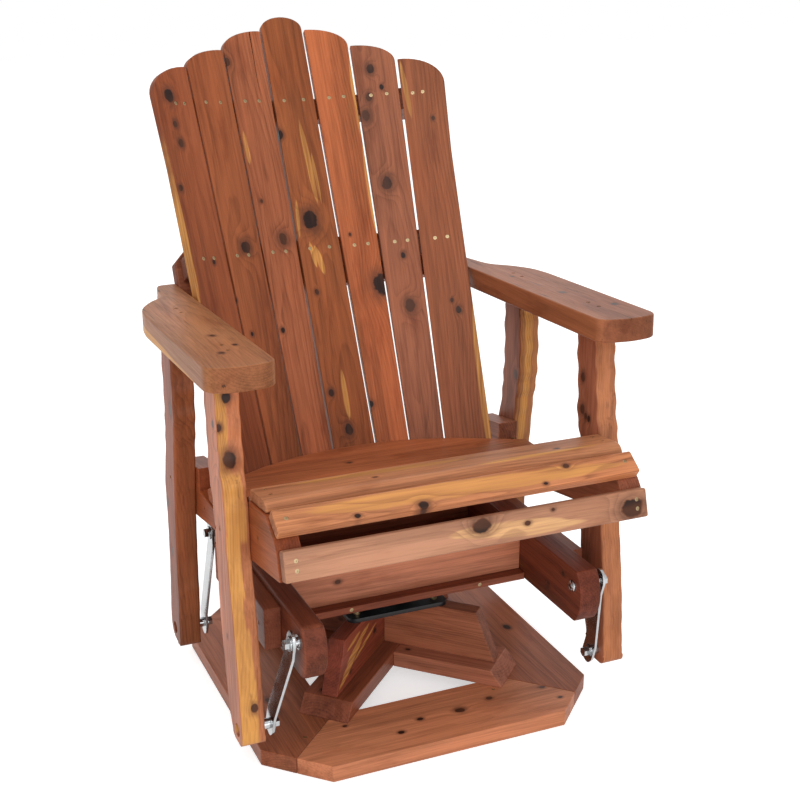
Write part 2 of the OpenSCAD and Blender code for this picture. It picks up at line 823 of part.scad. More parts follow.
module seat_slat(s) {
    color(wood) placed() difference() {
        along_x(-seat_slat_len / 2, seat_slat_len / 2) polygon([
            on_face(s, 0, 0), on_face(s, s[2], 0), on_face(s, s[2], -slat_t),
            on_face(s, 0, -slat_t)
        ]);
        seat_screw_places() screw_hole(seat_screw_len);
    }
}

module front_seat_slat() {
    nose_u = 18;
    nose_v = slat_t - 3;
    color(wood) placed() difference() {
        along_x(-seat_slat_len / 2, seat_slat_len / 2) polygon(concat(
            [on_face(front_slat, front_slat_w, 0), on_face(front_slat, front_slat_w, -slat_t),
                on_face(front_slat, 0, -slat_t)],
            [for (p = quarter(nose_u, nose_v, 6))
                on_face(front_slat, nose_u - p[0], p[1] - nose_v)]
        ));
        seat_screw_places() screw_hole(seat_screw_len);
    }
}

module rear_seat_board() {
    half = seat_slat_len / 2;
    color(wood) placed() difference() {
        translate([0, 0, seat_low_z - slat_t]) linear_extrude(slat_t) polygon([
            [-half, rear_board_y], [half, rear_board_y], [half, board_step_y],
            [board_neck, board_step_y], [board_neck, 200], [-board_neck, 200],
            [-board_neck, board_step_y], [-half, board_step_y]
        ]);
        behind_slat_faces();
        seat_screw_places() screw_hole(seat_screw_len);
    }
}

// Board on edge whose top follows the undersides of the seat slats
module seat_support(side) {
    nose_under = on_face(nose, nose_w, -slat_t);
    front_under = on_face(front_slat, 0, -slat_t);
    step = board_step_y + 1;
    color(wood) placed() on_side(side) difference() {
        along_x(support_in, post_in) polygon([
            on_face(apron, 0, -slat_t), on_face(apron, apron_w, -slat_t),
            on_face(nose, 0, -slat_t), nose_under, front_under,
            on_face(front_slat, front_slat_w, -slat_t),
            on_face(middle_slat_1, 0, -slat_t), on_face(middle_slat_1, middle_slat_w, -slat_t),
            on_face(middle_slat_2, 0, -slat_t), on_face(middle_slat_2, middle_slat_w, -slat_t),
            [rear_board_y, seat_low_z - slat_t], [step, seat_low_z - slat_t],
            [step, support_top(step)], [support_rear - 8, support_top(support_rear - 8)],
            [support_rear, support_top(support_rear) - 8],
            [support_rear, support_under(support_rear)],
            [on_face(apron, 0, -slat_t)[0] + 2, support_under(-349)]
        ]);
        frame_screw_places() screw_hole(frame_screw_len);
        seat_screw_places() screw_hole(seat_screw_len);
        rail_end_screw_places() screw_hole(rail_screw_len);
    }
}

// Screws through each support into the lower back rail
module rail_end_screw_places() {
    for (y = [lower_rail_y + 14]) both_sides()
        translate([post_in, y, seat_low_z - slat_t - lower_rail_h / 2]) rotate([0, 90, 0])
            children();
}

// Back: from the middle of the front face, +Y runs up the slats and +Z faces forward

module on_back() {
    translate([0, back_y, back_z]) rotate([90 - recline, 0, 0]) children();
}

low_s = -362;
high_s = 400;
function turn_of(n) = fan_turn * n;
function pitch(s) =
    fan_k * (fan_low_pitch + (fan_high_pitch - fan_low_pitch) * (s - low_s) / (high_s - low_s));
// Middle of the gap inside slat n, and how far forward the face lies there
function gap_x(n, s) = n < 1 ? -fan_half : fan_half + pitch(s) * (n - 1);
function edge_x(n, s) = gap_x(n, s) + (n == 1 ? (centre_gap - fan_gap) / 2 : 0);
function gap_z(n) = n < 2 ? 0 : gap_z(n - 1) + pitch(0) * tan(turn_of(n - 1));
function slat_x(n, s) = n == 0 ? 0 : (edge_x(n, s) + gap_x(n + 1, s)) / 2;
function slat_z(n) = n == 0 ? 0 : gap_z(n) + pitch(0) / 2 * tan(turn_of(n));
function slope(n) = (slat_x(n, high_s) - slat_x(n, low_s)) / (high_s - low_s);
function half_w(n, s) = n == 0 ? fan_half - centre_gap / 2
    : (gap_x(n + 1, s) - edge_x(n, s)) / 2 / cos(turn_of(n)) - fan_gap / 2;

// Slat i counts outwards from the centre slat, negative to the left
module on_slat(i) {
    n = abs(i);
    on_side(i) on_back() translate([slat_x(n, 0), 0, slat_z(n)])
        rotate([0, -turn_of(n), 0]) rotate([0, 0, -atan(slope(n) / cos(turn_of(n)))])
            children();
}

// Lower end of slat n, level with the centre slat's
function foot_s(n) = -slat_foot - tan(recline) * slat_z(n);
// Height of the corner that slat n shares with the next one out
function corner_s(n) = crown_top - crown_drop - crown_step * n - (n > 2 ? crown_last : 0);

function slat_crown(n) = n == 0
    ? [for (k = [0:16]) let (u = cos(180 * k / 16))
        [half_w(0, high_s) * u, corner_s(0) + crown_drop * sqrt(1 - u * u)]]
    : [for (p = quarter(2, 1, 12))
        [half_w(n, corner_s(n)) * (p[0] - 1),
            corner_s(n) + (corner_s(n - 1) - crown_notch - corner_s(n)) * p[1]]];

// Outline of slat n: its foot, the flared outer edge of the outermost slat, and its crown
flare_s = 150;
function slat_outline(n) = concat(
    [[-half_w(n, foot_s(n)), foot_s(n)],
        [half_w(n, foot_s(n)) + (n > 2 ? outer_flare : 0), foot_s(n)]],
    n > 2 ? [[half_w(n, flare_s), flare_s]] : [],
    slat_crown(n)
);

module back_slat(i) {
    n = abs(i);
    color(wood) placed() difference() {
        on_slat(i) translate([0, 0, -back_slat_t]) linear_extrude(back_slat_t)
            polygon(slat_outline(n));
        slat_screw_places(i) screw_hole(back_screw_len);
        slat_foot_screw_places(i) screw_hole(back_screw_len);
    }
}

back_screw_len = 38;
upper_row = [282, 282, 277, 268];
upper_pair = [[-19, 19], [-13, 15], [-14, 16], [-20, -1]];
middle_row = [0, -2, -6, -12];
middle_pair = [[-19, 19], [-11, 15], [-8, 16], [-9, 14]];
foot_row = 20;

// Screws in each slat's face, at the middle and upper back rails
module slat_screw_places(i) {
    n = abs(i);
    for (x = upper_pair[n]) on_slat(i) translate([x, upper_row[n], 0]) children();
    for (x = middle_pair[n]) on_slat(i) translate([x, middle_row[n], 0]) children();
}

// Screws from behind each slat into the lower back rail
module slat_foot_screw_places(i) {
    for (side = [-1, 1]) on_slat(i)
        translate([side * 12, foot_s(abs(i)) + foot_row, -back_slat_t]) rotate([180, 0, 0])
            children();
}

// What lies behind the slats' front faces
module behind_slat_faces() {
    for (i = slats) on_slat(i) translate([-600, -700, -400]) cube([1200, 950, 400]);
}

// What lies in front of the slats' back faces
module before_slat_backs() {
    intersection() {
        slat_front(-3);
        slat_front(-2);
        slat_front(-1);
        slat_front(0);
        slat_front(1);
        slat_front(2);
        slat_front(3);
    }
}

module slat_front(i) {
    on_slat(i) translate([-700, -700, -back_slat_t]) cube([1400, 1400, 600]);
}

module lower_back_rail() {
    half = support_in;
    color(wood) placed() difference() {
        translate([-half, lower_rail_y, seat_low_z - slat_t - lower_rail_h])
            cube([2 * half, 150, lower_rail_h]);
        behind_slat_faces();
        rail_end_screw_places() screw_hole(rail_screw_len);
        for (i = slats) slat_foot_screw_places(i) screw_hole(back_screw_len);
    }
}

// Rail behind the slats, its front cut to the fan
module back_rail(s0, height, half, depth) {
    color(wood) placed() difference() {
        on_back() translate([-half, s0, -depth]) cube([2 * half, height, depth + 110]);
        before_slat_backs();
        for (i = slats) on_slat(i) translate([0, 0, -back_slat_t]) linear_extrude(400)
            polygon(slat_outline(abs(i)));
        for (i = slats) slat_screw_places(i) screw_hole(back_screw_len);
    }
}

module back_brace() {
    color(wood) placed() difference() {
        on_back() translate([0, 24 - brace_h, -middle_rail_d - deck_t]) linear_extrude(deck_t)
            polygon([
                [-arm_in, 0], [arm_in, 0], [arm_in, brace_h - brace_clip],
                [arm_in - brace_clip, brace_h], [brace_clip - arm_in, brace_h],
                [-arm_in, brace_h - brace_clip]
            ]);
        for (i = slats) slat_screw_places(i) screw_hole(back_screw_len);
        both_sides() brace_screw_places() screw_hole(brace_screw_len);
    }
}

// Screws and bolts of the seat and the back

module seat_screws() {
    color(brass) placed() {
        seat_screw_places() screw(seat_screw_len - 2);
        rail_end_screw_places() screw(rail_screw_len - 2);
        both_sides() arm_screw_places() screw(arm_screw_len - 2);
        both_sides() frame_screw_places() screw(frame_screw_len - 2);
        both_sides() brace_screw_places() screw(brace_screw_len - 2);
    }
}

module back_screws() {
    color(brass) placed() for (i = slats) {
        slat_screw_places(i) screw(back_screw_len - 2);
        slat_foot_screw_places(i) screw(back_screw_len - 2);
    }
}

module seat_bolts() {
    color(zinc) placed() both_sides() foot_pivots() {
        dome_head(bolt_head_r, post_out - head_recess, 1);
        rod(pivot_r, foot_nut_x, post_out - head_recess);
    }
}

module lower_pivot_nuts_and_spacers() {
    color(zinc) placed() both_sides() {
        foot_pivots() {
            tube(bush_r, pivot_r, link_low_x + link_t + part_gap, post_in);
            tube(washer_r, pivot_r, foot_nut_x + nut_t, foot_nut_x + nut_t + washer_t);
            hex_nut(foot_nut_x, nut_t);
        }
    }
}

ring_board(0);  // ring_board_front
ring_board(90);  // ring_board_right
ring_board(180);  // ring_board_rear
ring_board(270);  // ring_board_left
lower_cross(45, -1);  // lower_cross_long_board
lower_cross(315, cross_w / 2);  // lower_cross_front_leg
lower_cross(135, cross_w / 2);  // lower_cross_rear_leg
upper_cross(45, -1);  // upper_cross_long_board
upper_cross(315, deck_t / 2);  // upper_cross_front_leg
upper_cross(135, deck_t / 2);  // upper_cross_rear_leg
base_screws();
swivel_lower_plate();
swivel_bearing_balls();
swivel_centre_pin();
swivel_upper_plate();
mounting_board();
cross_board_on_edge(true);  // front_cross_board
cross_board_on_edge(false);  // rear_cross_board
rail(-1);  // left_rail
rail(1);  // right_rail
cheek(-1);  // left_rail_cheek
cheek(1);  // right_rail_cheek
carriage_screws();
upper_pivot_bolts();
upper_pivot_nuts_and_spacers();
front_link(-1);  // left_front_link
front_link(1);  // right_front_link
front_link_bushings();
rear_link(-1);  // left_rear_link
rear_link(1);  // right_rear_link
rear_link_bushings();
post(-1, front_post_outline);  // left_front_post
post(1, front_post_outline);  // right_front_post
post(-1, rear_post_outline);  // left_rear_post
post(1, rear_post_outline);  // right_rear_post
arm(-1);  // left_arm
arm(1);  // right_arm
seat_support(-1);  // left_seat_support
seat_support(1);  // right_seat_support
front_seat_slat();
seat_slat(nose);  // nose_slat
seat_slat(apron);  // apron_slat
seat_slat(middle_slat_1);  // front_middle_seat_slat
seat_slat(middle_slat_2);  // rear_middle_seat_slat
rear_seat_board();
back_slat(-3);  // back_slat_1
back_slat(-2);  // back_slat_2
back_slat(-1);  // back_slat_3
back_slat(0);  // back_slat_4
back_slat(1);  // back_slat_5
back_slat(2);  // back_slat_6
back_slat(3);  // back_slat_7
lower_back_rail();
back_rail(6 - middle_rail_h, middle_rail_h, middle_rail_half, middle_rail_d);  // middle_back_rail
back_brace();
back_rail(upper_rail_s, upper_rail_h, upper_rail_half, upper_rail_d);  // upper_back_rail
seat_screws();
back_screws();
seat_bolts();
lower_pivot_nuts_and_spacers();
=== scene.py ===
import json
import math
import random
import bmesh
import bpy
from mathutils import Matrix, Vector
from mathutils.bvhtree import BVHTree


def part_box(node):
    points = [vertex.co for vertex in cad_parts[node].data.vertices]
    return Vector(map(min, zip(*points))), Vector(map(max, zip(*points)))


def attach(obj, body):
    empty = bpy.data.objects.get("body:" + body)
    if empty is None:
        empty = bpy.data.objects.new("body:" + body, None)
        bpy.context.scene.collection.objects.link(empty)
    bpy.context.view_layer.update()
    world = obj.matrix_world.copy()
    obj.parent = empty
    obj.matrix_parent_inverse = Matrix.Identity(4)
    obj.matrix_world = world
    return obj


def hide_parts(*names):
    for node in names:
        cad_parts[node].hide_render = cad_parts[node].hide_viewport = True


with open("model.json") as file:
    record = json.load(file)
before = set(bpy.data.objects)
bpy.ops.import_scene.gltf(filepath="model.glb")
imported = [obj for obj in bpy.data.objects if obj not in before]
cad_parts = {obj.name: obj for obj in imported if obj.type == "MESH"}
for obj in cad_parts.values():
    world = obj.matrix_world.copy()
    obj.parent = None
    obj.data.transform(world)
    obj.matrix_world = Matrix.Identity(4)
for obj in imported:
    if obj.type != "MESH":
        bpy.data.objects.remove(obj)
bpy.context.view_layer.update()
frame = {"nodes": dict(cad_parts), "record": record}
nodes = frame["nodes"]

# Lengths are in metres and angles in degrees, where a comment doesn't say otherwise

RING_Y = -0.0698981           # the middle of the base ring in the frame
RECLINE = 26.65               # of the back, from upright
SUPPORT_FALL = 9.65           # of the seat supports, towards the back
SLAT_TURN = 8                 # of each back slat against its inner neighbour, about its length
SLAT_LOW, SLAT_HIGH = -0.362, 0.4   # ends of the slats, along the back from BACK_MIDDLE
SLAT_PITCH = 0.063            # between neighbours at the low end
SLAT_SPREAD = 0.0188          # what the pitch gains up to the high end
FIRST_GAP = 0.0413            # edge of the centre slat
HALF_GAP = 0.00075            # half the gap between two slats


def at(x, y, z):
    """A place, measured from the middle of the base ring."""
    return Vector((x, y + RING_Y, z))


def rise(degrees):
    """A direction so far up from +Y."""
    return Vector((0, math.cos(math.radians(degrees)), math.sin(math.radians(degrees))))


def lean(degrees):
    """A direction so far back from +Z."""
    return Vector((0, math.sin(math.radians(degrees)), math.cos(math.radians(degrees))))


def unit(v):
    return Vector(v).normalized()


def show(name, data):
    item = bpy.data.objects.new(name, data)
    bpy.context.collection.objects.link(item)
    return item


X, Y, Z = Vector((1, 0, 0)), Vector((0, 1, 0)), Vector((0, 0, 1))
BACK_MIDDLE = at(0, 0.294, 0.715)

# Camera at the photograph's place

camera = bpy.data.cameras.new("camera")
camera.lens = 61.806
camera.sensor_width = 36
camera_object = show("camera", camera)
camera_axes = ((0.917352, -0.398065, 0.003136), (0.127556, 0.3014, 0.944927),
               (-0.377088, -0.866431, 0.327265))
view = Matrix(camera_axes).transposed().to_4x4()
view.translation = at(-0.849662, -2.028254, 1.274887)
camera_object.matrix_world = view
bpy.context.scene.camera = camera_object


# Small helpers for shader trees

class Net:
    def __init__(self, tree):
        self.tree = tree

    def new(self, kind, **settings):
        node = self.tree.nodes.new(kind)
        for key, value in settings.items():
            setattr(node, key, value)
        return node

    def put(self, socket, value):
        if isinstance(value, bpy.types.NodeSocket):
            self.tree.links.new(value, socket)
        elif value is not None:
            socket.default_value = value

    def math(self, operation, a, b=None, clamp=False):
        node = self.new("ShaderNodeMath", operation=operation, use_clamp=clamp)
        self.put(node.inputs[0], a)
        self.put(node.inputs[1], b)
        return node.outputs[0]

    def add(self, a, b):
        return self.math("ADD", a, b)

    def subtract(self, a, b):
        return self.math("SUBTRACT", a, b)

    def mul(self, a, b):
        return self.math("MULTIPLY", a, b)

    def limit(self, value, factor=1.0):
        """The value times a factor, kept from 0 to 1."""
        return self.math("MULTIPLY", value, factor, clamp=True)

    def swing(self, value, amount):
        """A noise's value, moved to lie on both sides of 0, times the amount."""
        return self.mul(self.subtract(value, 0.5), amount)

    def length(self, a, b):
        return self.math("SQRT", self.add(self.mul(a, a), self.mul(b, b)))

    def dot(self, a, b):
        node = self.new("ShaderNodeVectorMath", operation="DOT_PRODUCT")
        self.put(node.inputs[0], a)
        self.put(node.inputs[1], b)
        return node.outputs["Value"]

    def parts(self, vector):
        node = self.new("ShaderNodeSeparateXYZ")
        self.put(node.inputs[0], vector)
        return node.outputs[0], node.outputs[1], node.outputs[2]

    def vector(self, x, y, z):
        node = self.new("ShaderNodeCombineXYZ")
        for socket, value in zip(node.inputs, (x, y, z)):
            self.put(socket, value)
        return node.outputs[0]

    def noise(self, vector, scale=1.0, detail=2.0, roughness=0.5):
        node = self.new("ShaderNodeTexNoise")
        self.put(node.inputs["Vector"], vector)
        node.inputs["Scale"].default_value = scale
        node.inputs["Detail"].default_value = detail
        node.inputs["Roughness"].default_value = roughness
        node.inputs["Distortion"].default_value = 0.0
        return node.outputs[0]

    def smooth(self, value, low, high, to_low=0.0, to_high=1.0):
        node = self.new("ShaderNodeMapRange", interpolation_type="SMOOTHSTEP")
        for index, item in enumerate((value, low, high, to_low, to_high)):
            self.put(node.inputs[index], item)
        return node.outputs[0]

    def mix(self, factor, a, b, blend="MIX"):
        node = self.new("ShaderNodeMix", data_type="RGBA", blend_type=blend)
        self.put(node.inputs[0], factor)
        self.put(node.inputs[6], a)
        self.put(node.inputs[7], b)
        return node.outputs[2]

    def tint(self, colour, filter_colour):
        return self.mix(1.0, colour, filter_colour, "MULTIPLY")

    def mix_value(self, factor, a, b):
        return self.add(self.mul(self.math("SUBTRACT", 1.0, factor, clamp=True), a),
                        self.mul(self.limit(factor), b))

    def use(self, group, values):
        node = self.new("ShaderNodeGroup", node_tree=group)
        for key, value in values.items():
            self.put(node.inputs[key], value)
        return node.outputs

    def seen(self):
        """1 for a ray of the camera, or of a reflection or glass that it looks at."""
        path = self.new("ShaderNodeLightPath").outputs
        return self.math("MAXIMUM", path["Is Camera Ray"],
                         self.math("MAXIMUM", path["Is Glossy Ray"], path["Is Transmission Ray"]))

    def surface(self, colour, roughness, height, strength, distance, **settings):
        """The material's shader, with its bumps and the settings that differ from the default."""
        shader = self.new("ShaderNodeBsdfPrincipled")
        self.put(shader.inputs["Base Color"], colour)
        self.put(shader.inputs["Roughness"], roughness)
        for key, value in settings.items():
            shader.inputs[key.replace("_", " ")].default_value = value
        bump = self.new("ShaderNodeBump")
        bump.inputs["Strength"].default_value = strength
        bump.inputs["Distance"].default_value = distance
        self.put(bump.inputs["Height"], height)
        self.put(shader.inputs["Normal"], bump.outputs[0])
        self.put(self.new("ShaderNodeOutputMaterial").inputs[0], shader.outputs[0])


def group(name, inputs, outputs):
    """A node group, the net to build it with, its inputs and its outputs."""
    tree = bpy.data.node_groups.new(name, "ShaderNodeTree")
    kinds = {"f": "NodeSocketFloat", "v": "NodeSocketVector", "c": "NodeSocketColor"}
    for in_out, sockets in (("INPUT", inputs), ("OUTPUT", outputs)):
        for key, kind in sockets:
            tree.interface.new_socket(name=key, in_out=in_out, socket_type=kinds[kind])
    pin = tree.nodes.new("NodeGroupInput").outputs
    pout = tree.nodes.new("NodeGroupOutput").inputs
    return tree, Net(tree), pin, pout


def new_material(name, colour=None):
    material = bpy.data.materials.new(name)
    material.use_nodes = True
    if colour:
        material.diffuse_color = colour
    material.node_tree.nodes.clear()
    return material, Net(material.node_tree)


def linear(r, g, b):
    """A colour for Blender from one on a screen, 0 to 255."""
    return tuple(((v / 255 + 0.055) / 1.055) ** 2.4 if v > 10 else v / 255 / 12.92
                 for v in (r, g, b)) + (1.0,)


def shade(colour, factor, red=1.0):
    return (colour[0] * factor * red, colour[1] * factor, colour[2] * factor, 1.0)


# The wood. In its trees x runs along the board, y across it and z through it; noise scales are per metre

KNOT_STRETCH = 0.72           # of distances along the board, so that a knot is longer than wide
KNOT_RAGGED = 0.75            # of a knot's rim, in its radii
RING_BEND = 1.25              # of the rings round a knot, in its radii
RING_COUNT = 235              # growth rings per metre
BAND_TAPER = 0.9              # of sapwood on the broad faces
FACING = (0.35, 0.85)         # cosines from which a surface faces a direction, a little and fully
CORE_BLACK, CORE_BROWN = (0.014, 0.006, 0.005, 1), (0.07, 0.024, 0.012, 1)
RIM_BROWN, HALO_BROWN = (0.2, 0.06, 0.025, 1), (0.075, 0.03, 0.02, 1)
# The next colour is painted shade inside the drying checks, whose hollows are only bumps
CRACK_SHADE = (0.05, 0.022, 0.014, 1)
WARM_FILTER, DUSK_FILTER, END_FILTER = (1.05, 0.9, 0.8, 1), (0.66, 0.56, 0.52, 1), (0.66, 0.6, 0.62, 1)
PALE_SAP = (214, 152, 80)


def knot_group():
    """A knot: it bends the growth rings round itself and adds a dark core and a smoky halo."""
    tree, net, pin, pout = group(
        "knot",
        [("P", "v"), ("X", "f"), ("Y", "f"), ("R", "f"), ("Flow", "f"), ("Core", "f"), ("Halo", "f")],
        [("Flow", "f"), ("Core", "f"), ("Halo", "f")])
    x, y, _ = net.parts(pin["P"])
    wobble = net.swing(net.noise(pin["P"], 75, 2), net.mul(pin["R"], KNOT_RAGGED))
    distance = net.length(net.mul(net.subtract(x, pin["X"]), KNOT_STRETCH), net.subtract(y, pin["Y"]))
    near = net.math("DIVIDE", distance, pin["R"])
    near_squared = net.mul(near, near)
    bend = net.math("EXPONENT", net.mul(near_squared, -0.34))
    glow = net.math("EXPONENT", net.mul(near_squared, -0.36))
    edge = net.math("DIVIDE", net.add(distance, wobble), pin["R"])
    net.put(pout["Flow"], net.add(pin["Flow"], net.mul(bend, net.mul(pin["R"], RING_BEND))))
    net.put(pout["Core"], net.math("MAXIMUM", pin["Core"], net.smooth(edge, 1.0, 0.74)))
    net.put(pout["Halo"], net.math("MAXIMUM", pin["Halo"], glow))
    return tree


def band_group():
    """A band of pale sapwood along the grain. With Taper it narrows to its ends and is streaked."""
    tree, net, pin, pout = group(
        "band",
        [("P", "v"), ("X", "f"), ("Y", "f"), ("Slope", "f"), ("Length", "f"), ("Width", "f"),
         ("Taper", "f"), ("Mask", "f")],
        [("Mask", "f")])
    x, y, z = net.parts(pin["P"])
    along = net.subtract(x, pin["X"])
    across = net.subtract(y, net.add(pin["Y"], net.mul(along, pin["Slope"])))
    ragged = net.subtract(net.noise(net.vector(net.mul(x, 9), net.mul(y, 60), z), 1, 3), 0.5)
    reach = net.math("DIVIDE", net.math("ABSOLUTE", along), pin["Length"])
    side = net.add(net.math("DIVIDE", net.math("ABSOLUTE", across), pin["Width"]), net.mul(ragged, 0.9))
    side = net.add(side, net.mul(net.math("POWER", reach, 3.0), pin["Taper"]))
    end = net.add(reach, net.mul(ragged, 0.5))
    mask = net.mul(net.smooth(side, 1.05, 0.78), net.smooth(end, 1.1, 0.8))
    flame = net.noise(net.vector(net.mul(x, 7), net.mul(y, 230), z), 1, 3, 0.6)
    mask = net.mul(mask, net.mix_value(pin["Taper"], 1.0, net.smooth(flame, 0.3, 0.62, 0.35, 1.0)))
    net.put(pout["Mask"], net.math("MAXIMUM", pin["Mask"], mask))
    return tree


def cedar_group():
    """Cedar: growth rings round a wandering pith, fibres, tonal bands, checks, knots and end grain."""
    tree, net, pin, pout = group(
        "cedar",
        [("P", "v"), ("Seed", "f"), ("Light", "c"), ("Deep", "c"), ("Sap", "c"), ("Pith Y", "f"),
         ("Pith Z", "f"), ("Flow", "f"), ("Core", "f"), ("Halo", "f"), ("Mask", "f"), ("End", "f"),
         ("Contrast", "f"), ("Checks", "f")],
        [("Color", "c"), ("Roughness", "f"), ("Height", "f")])
    x, y, z = net.parts(pin["P"])
    seed = net.mul(pin["Seed"], 3.7)

    def grain(along, across, through=None, bent=y):
        """A place for a noise that is stretched along the board."""
        return net.vector(net.add(net.mul(x, along), seed), net.mul(bent, across),
                          net.mul(z, through or across))

    # Growth rings
    wander_y = net.noise(net.vector(net.mul(x, 1.3), seed, 0.3), 1, 1)
    wander_z = net.noise(net.vector(net.mul(x, 0.9), 9.1, seed), 1, 1)
    from_pith_y = net.subtract(net.add(y, net.swing(wander_y, 0.13)), pin["Pith Y"])
    from_pith_z = net.subtract(net.add(z, net.swing(wander_z, 0.07)), pin["Pith Z"])
    ripple = net.noise(grain(6, 22), 1, 2)
    radius = net.add(net.length(from_pith_y, from_pith_z), net.swing(ripple, 0.007))
    radius = net.add(radius, pin["Flow"])
    uneven = net.noise(net.vector(net.mul(radius, 55), seed, 2.0), 1, 2)
    phase = net.math("FRACT", net.add(net.mul(radius, RING_COUNT), net.mul(uneven, 2.2)))
    late_wood = net.mul(net.math("POWER", phase, 2.4), net.smooth(phase, 1.0, 0.9))
    bold = net.smooth(net.noise(net.vector(net.mul(radius, 26), seed, 7.0), 1, 1), 0.35, 0.7)
    ring = net.mul(late_wood, net.add(0.45, net.mul(bold, 0.75)))

    # Heartwood, lighter and darker along the grain, with warm patches and dusky clouds
    streak = net.noise(grain(2.4, 75, bent=net.add(y, net.mul(pin["Flow"], 1.4))), 1, 4, 0.62)
    fibre = net.noise(grain(14, 420), 1, 2, 0.6)
    tone = net.noise(grain(1.5, 13), 1, 2, 0.5)
    dark = net.add(net.mul(ring, 0.22), net.swing(streak, 0.8))
    dark = net.add(net.add(dark, net.swing(tone, 0.95)), net.swing(fibre, 0.5))
    dark = net.add(net.mul(dark, pin["Contrast"]), 0.36)
    wood = net.mix(net.limit(dark), pin["Light"], pin["Deep"])
    patch = net.noise(net.vector(net.mul(x, 4.1), net.mul(y, 7.0), net.add(seed, 4.0)), 1, 3, 0.55)
    wood = net.mix(net.smooth(patch, 0.42, 0.72, 0.0, 0.55), wood, net.tint(wood, WARM_FILTER))
    cloud = net.noise(grain(6, 26), 1, 4, 0.6)
    wood = net.mix(net.smooth(cloud, 0.52, 0.72, 0.0, 0.75), wood, net.tint(wood, DUSK_FILTER))

    # Sapwood, where a band asks for it and a little by chance
    pale = net.mix(net.smooth(net.add(streak, net.mul(ring, 0.35)), 0.35, 0.8), pin["Sap"],
                   net.mix(0.5, pin["Sap"], pin["Deep"]))
    by_chance = net.mul(net.smooth(tone, 0.6, 0.78), net.smooth(streak, 0.45, 0.6, 0.0, 0.3))
    wood = net.mix(net.math("MAXIMUM", pin["Mask"], by_chance), wood, pale)

    # Knots: a broken halo, a brown rim and a dark core
    smoke = net.noise(net.vector(net.mul(x, 28), net.mul(y, 55), seed), 1, 3, 0.6)
    halo = net.smooth(net.mul(pin["Halo"], net.add(0.25, net.mul(smoke, 1.45))), 0.12, 0.85)
    wood = net.mix(net.mul(halo, 0.8), wood, net.mix(0.55, pin["Deep"], HALO_BROWN))
    rim = net.smooth(net.math("ABSOLUTE", net.subtract(pin["Core"], 0.35)), 0.4, 0.1)
    wood = net.mix(net.mul(rim, 0.55), wood, RIM_BROWN)
    core_colour = net.mix(net.smooth(ripple, 0.42, 0.58), CORE_BLACK, CORE_BROWN)
    wood = net.mix(net.mul(pin["Core"], 0.95), wood, core_colour)

    # Drying checks, whose dark lines are painted shade inside the cracks, and end grain
    check = net.noise(grain(3.2, 120, 60), 1, 3, 0.6)
    check = net.mul(net.smooth(check, 0.64, 0.72), pin["Checks"])
    wood = net.mix(net.limit(check, 0.8), wood, CRACK_SHADE)
    wood = net.mix(net.mul(pin["End"], 0.75), wood, net.tint(wood, END_FILTER))
    net.put(pout["Color"], wood)

    rough = net.add(net.mul(fibre, 0.22), net.mul(streak, 0.12))
    rough = net.add(net.add(rough, net.mul(pin["End"], 0.2)), net.mul(pin["Core"], -0.08))
    net.put(pout["Roughness"], net.math("ADD", rough, 0.27, clamp=True))
    height = net.add(net.mul(ring, -0.35), net.mul(fibre, 0.55))
    height = net.add(net.add(height, net.mul(streak, 0.35)), net.mul(check, -1.2))
    net.put(pout["Height"], net.add(height, net.mul(pin["Core"], 0.3)))
    return tree


knot_tree, band_tree, cedar_tree = knot_group(), band_group(), cedar_group()


def board_space(net, origin, length, width):
    """The place on a board, along it, across it and through it from its own middle, and the normal."""
    texture = net.new("ShaderNodeTexCoord")
    p = [net.subtract(net.dot(texture.outputs["Object"], tuple(axis)), origin.dot(axis))
         for axis in (length, width, length.cross(width))]
    return net.vector(*p), texture.outputs["Normal"]


